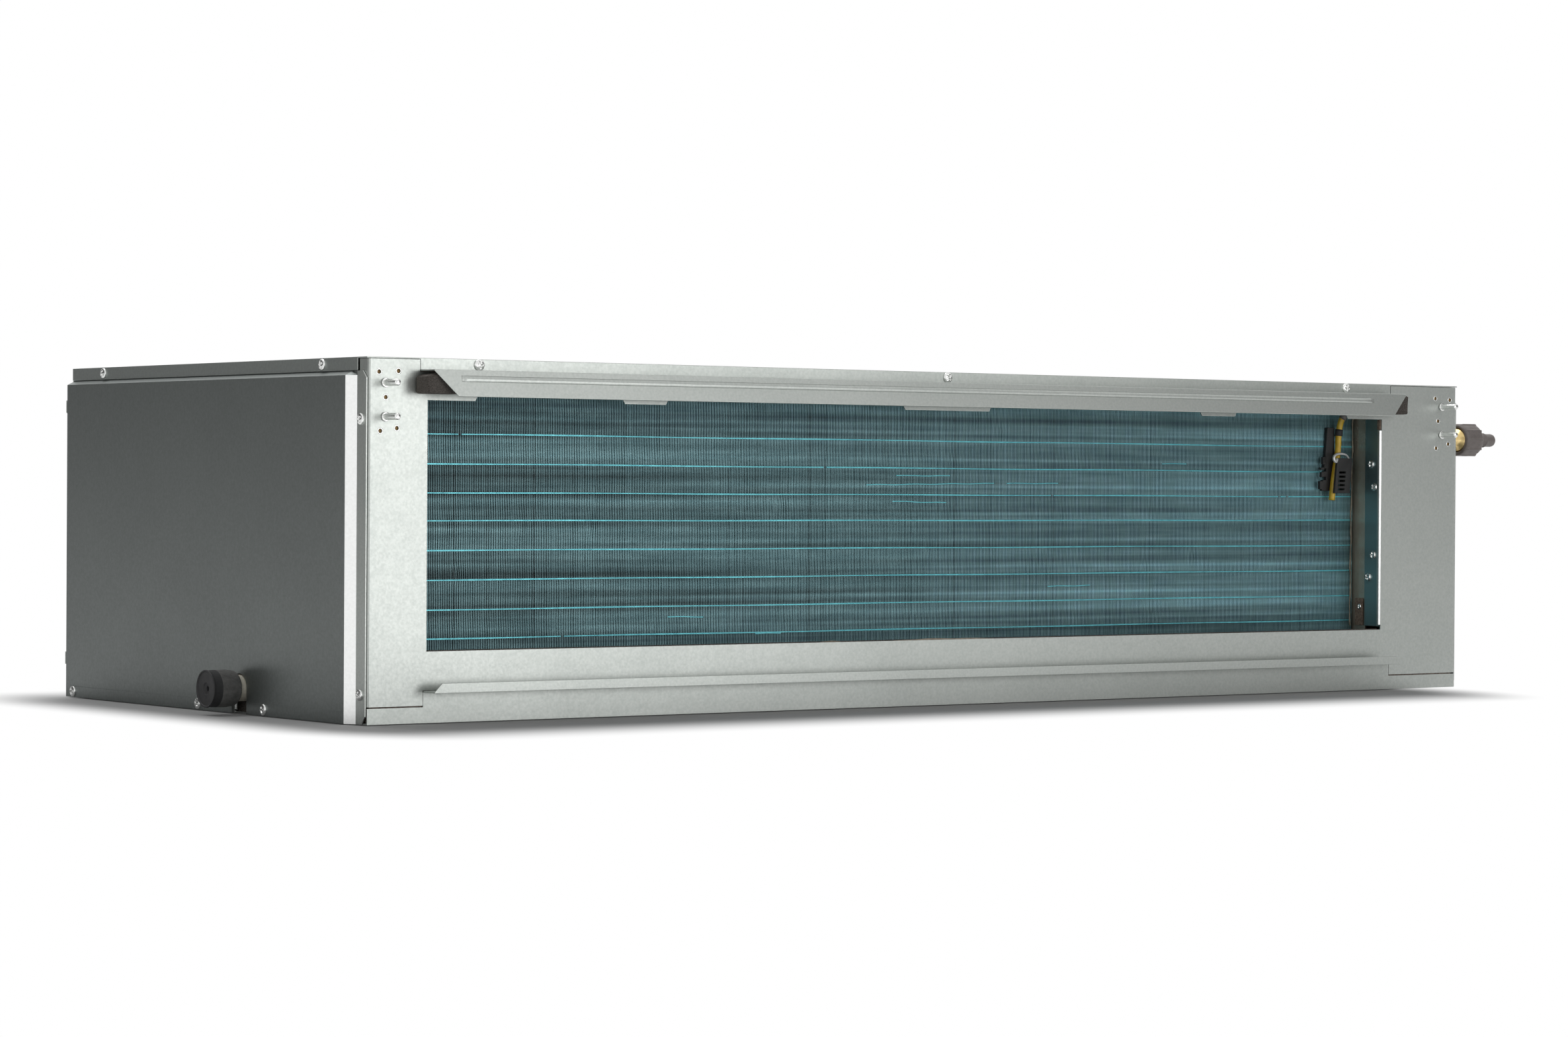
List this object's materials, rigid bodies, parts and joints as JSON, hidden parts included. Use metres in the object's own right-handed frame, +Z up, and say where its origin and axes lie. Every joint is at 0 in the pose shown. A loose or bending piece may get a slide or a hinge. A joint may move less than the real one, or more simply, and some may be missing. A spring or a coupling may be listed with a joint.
{
  "type": "ducted indoor unit",
  "caption": "Slim ducted indoor air unit: blowers behind a coil and drain pan in a folded zinc casing, with slide-out filters, control box and pipe connections.",
  "frame": {"origin": "centre of the folded casing's underside, without the pipes, plug and control box that stand out of it", "axes": "+X along the unit from the drain end to the pipe end, +Y from the supply outlet to the return inlet, +Z up"},
  "size_m": [1.2528, 0.4909, 0.26],
  "materials": {
    "galvanised": "galvanised sheet, fine grain",
    "zinc_bright": "bright zinc plate",
    "baffle_zinc": "dull zinc in the shade of the outlet",
    "fin_aluminium": "blue-green coated fins",
    "copper": "bare copper tube",
    "brass": "machined brass",
    "pan_foam": "moulded foam, matt brown",
    "seal_foam": "soft dark sealing foam",
    "spout_plastic": "cream moulded plastic",
    "rubber": "scuffed black rubber",
    "grey_plastic": "taupe-grey moulded plastic",
    "black_plastic": "black moulded plastic",
    "white_plastic": "off-white moulded plastic",
    "wheel_plastic": "dark grey moulded plastic",
    "sensor_yellow": "yellow cable sheath",
    "board_green": "lacquered circuit board",
    "motor_paint": "grey painted steel"
  },
  "bodies": {
    "casing": {"bottom_plate": "galvanised", "top_cover": "galvanised", "front_panel": "galvanised", "stud_left_upper": "zinc_bright", "stud_left_lower": "zinc_bright", "stud_right_upper": "zinc_bright", "stud_right_lower": "zinc_bright", "left_side_panel": "galvanised", "right_side_panel": "galvanised", "rear_panel": "galvanised", "filter_rail_lower": "galvanised", "filter_rail_upper": "galvanised", "outlet_seal_left": "seal_foam", "outlet_seal_right": "seal_foam", "coil_fins": "fin_aluminium", "coil_end_plate_left": "zinc_bright", "coil_end_plate_right": "zinc_bright", "side_baffle": "baffle_zinc", "lid_insulation": "pan_foam", "drain_pan": "pan_foam", "drain_spout": "spout_plastic", "fan_deck": "galvanised", "scroll_lower_left": "black_plastic", "scroll_upper_left": "black_plastic", "scroll_lower_right": "black_plastic", "scroll_upper_right": "black_plastic", "motor_body": "motor_paint", "motor_ring_left": "rubber", "motor_ring_right": "rubber", "motor_cradle": "galvanised", "motor_strap_left": "zinc_bright", "motor_strap_right": "zinc_bright", "pipe_bulkhead": "galvanised", "liquid_union": "brass", "gas_union": "brass", "gas_header": "copper", "gas_pipe": "copper", "expansion_valve": "brass", "valve_coil": "black_plastic", "distributor": "brass", "liquid_pipe": "copper", "drain_pump": "white_plastic", "float_switch": "white_plastic", "control_box": "galvanised", "cable_gland": "black_plastic", "control_board": "board_green", "terminal_block": "black_plastic", "sensor_clip_base": "black_plastic", "sensor_clip_cover": "black_plastic", "sensor_lead": "sensor_yellow"},
    "fan_rotor": {"fan_shaft": "zinc_bright", "fan_wheel_left": "wheel_plastic", "fan_wheel_right": "wheel_plastic"},
    "left_filter": {"filter_left": "black_plastic"},
    "right_filter": {"filter_right": "black_plastic"},
    "plug": {"drain_plug": "rubber"},
    "liquid_seal_nut": {"liquid_nut": "grey_plastic"},
    "gas_seal_nut": {"gas_nut": "grey_plastic"},
    "box_lid": {"control_box_lid": "galvanised"},
    "float": {"float_ring": "black_plastic"}
  },
  "joints": [
    {"name": "fan_spin", "type": "hinge", "parent": "casing", "child": "fan_rotor", "pos_m": [-0.0442, 0.102, 0.128], "axis": [1, 0, 0], "continuous": true},
    {"name": "filter_left_slide", "type": "slide", "parent": "casing", "child": "left_filter", "axis": [-1, 0, 0], "range_m": [0, 0.52]},
    {"name": "filter_right_slide", "type": "slide", "parent": "casing", "child": "right_filter", "axis": [1, 0, 0], "range_m": [0, 0.52]},
    {"name": "drain_plug_pull", "type": "slide", "parent": "casing", "child": "plug", "axis": [-1, 0, 0], "range_m": [0, 0.04]},
    {"name": "liquid_nut_pull", "type": "slide", "parent": "casing", "child": "liquid_seal_nut", "axis": [1, 0, 0], "range_m": [0, 0.03]},
    {"name": "gas_nut_pull", "type": "slide", "parent": "casing", "child": "gas_seal_nut", "axis": [1, 0, 0], "range_m": [0, 0.03]},
    {"name": "control_lid_pull", "type": "slide", "parent": "casing", "child": "box_lid", "axis": [1, 0, 0], "range_m": [0, 0.08]},
    {"name": "float_travel", "type": "slide", "parent": "casing", "child": "float", "axis": [0, 0, 1], "range_m": [0, 0.01]}
  ]
}
